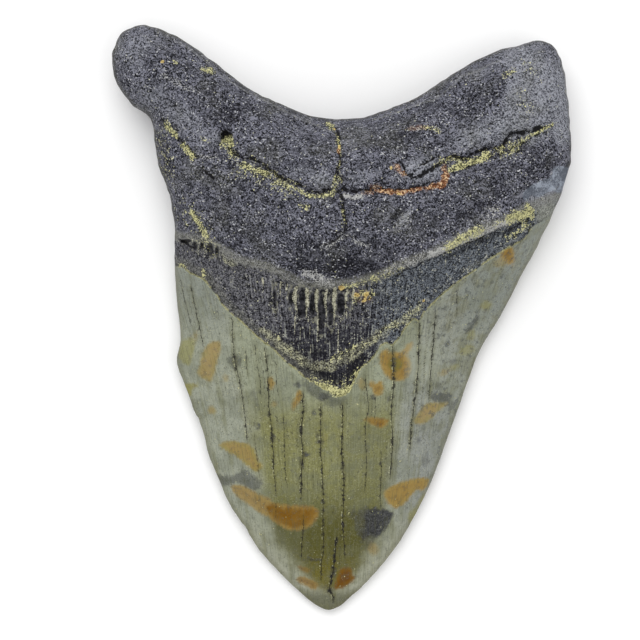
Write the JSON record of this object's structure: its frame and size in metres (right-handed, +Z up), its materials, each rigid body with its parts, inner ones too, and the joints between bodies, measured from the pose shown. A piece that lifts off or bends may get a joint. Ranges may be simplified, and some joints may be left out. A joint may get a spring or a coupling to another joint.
{
  "type": "fossil megalodon tooth",
  "caption": "Large fossil shark tooth lying on its flat face: forked root, smooth dark band and a broad pointed enamel crown with worn cutting edges.",
  "frame": {"origin": "centre of the bounding box in X and Y, at the plane the tooth lies on", "axes": "+Z up out of the convex lingual face, +Y towards the root lobes, -Y towards the tip, +X to the right lobe seen from above"},
  "size_m": [0.094, 0.1204, 0.026],
  "materials": {
    "fossil": "satin"
  },
  "bodies": {
    "root": {"megalodon_tooth": "fossil"}
  },
  "joints": []
}
